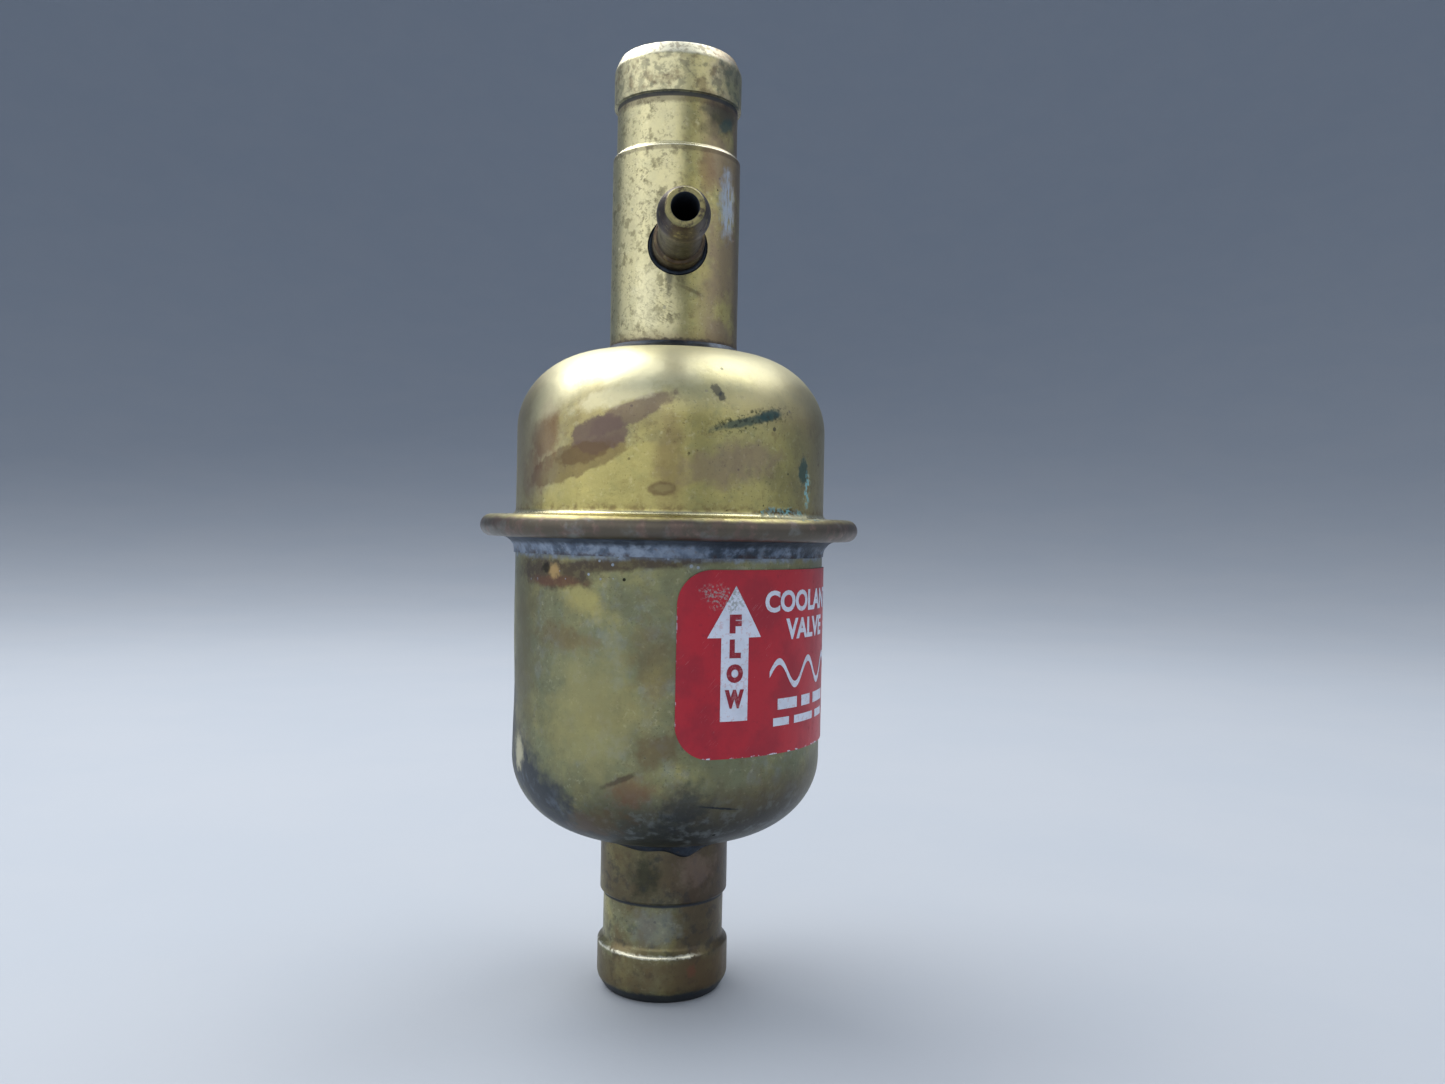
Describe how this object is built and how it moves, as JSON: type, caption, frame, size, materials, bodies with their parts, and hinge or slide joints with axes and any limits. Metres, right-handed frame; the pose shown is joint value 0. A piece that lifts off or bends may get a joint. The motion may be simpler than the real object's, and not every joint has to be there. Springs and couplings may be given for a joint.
{
  "type": "in-line thermostatic valve",
  "caption": "Brass in-line thermostatic coolant valve: two hemmed shells, a barbed hose neck at each end, a side vent nipple and a wax thermostat inside.",
  "frame": {"origin": "centre of the inlet neck's end face, on the axis of flow", "axes": "+Z along the flow, from the inlet neck to the outlet neck; -Y the way the vent nipple points; the flow label starts at -Y and wraps towards +X"},
  "size_m": [0.0562, 0.0576, 0.1379],
  "materials": {
    "shell_brass": "satin, aged, mottled with brown and green tarnish",
    "neck_brass": "satin, aged, finely pitted",
    "inlet_brass": "dull brown tarnish with a rubbed collar edge",
    "nipple_bronze": "dark bronze with a worn tip",
    "solder": "dull grey solder with white flux residue",
    "label": null,
    "inner_brass": "plain brass",
    "stainless": "satin stainless steel",
    "spring_steel": "drawn wire",
    "copper": "drawn copper",
    "white_plastic": "matt",
    "black_rubber": "matt",
    "wax": "waxy, with copper powder"
  },
  "bodies": {
    "housing": {"upper_shell": "shell_brass", "lower_shell": "shell_brass", "outlet_neck": "neck_brass", "inlet_neck": "inlet_brass", "vent_nipple": "nipple_bronze", "outlet_solder": "solder", "inlet_solder": "solder", "seam_solder": "solder", "nipple_solder": "solder", "flow_label": "label", "valve_seat": "inner_brass", "bridge": "inner_brass", "lower_frame": "stainless", "piston": "stainless", "main_spring": "spring_steel", "rivet_left": "inner_brass", "rivet_right": "inner_brass"},
    "valve": {"valve_disc": "inner_brass", "element_cup": "copper", "element_guide": "inner_brass", "piston_washer": "white_plastic", "rubber_boot": "black_rubber", "wax_charge": "wax"},
    "air_vent": {"jiggle_pin": "inner_brass"}
  },
  "joints": [
    {"name": "valve_lift", "type": "slide", "parent": "housing", "child": "valve", "axis": [0, 0, -1], "range_m": [0, 0.008], "stiffness_N_per_m": 4000, "springref_m": -0.001, "deforming": ["main_spring"]},
    {"name": "jiggle_lift", "type": "slide", "parent": "housing", "child": "air_vent", "axis": [0, 0, 1], "range_m": [0, 0.0015]}
  ]
}
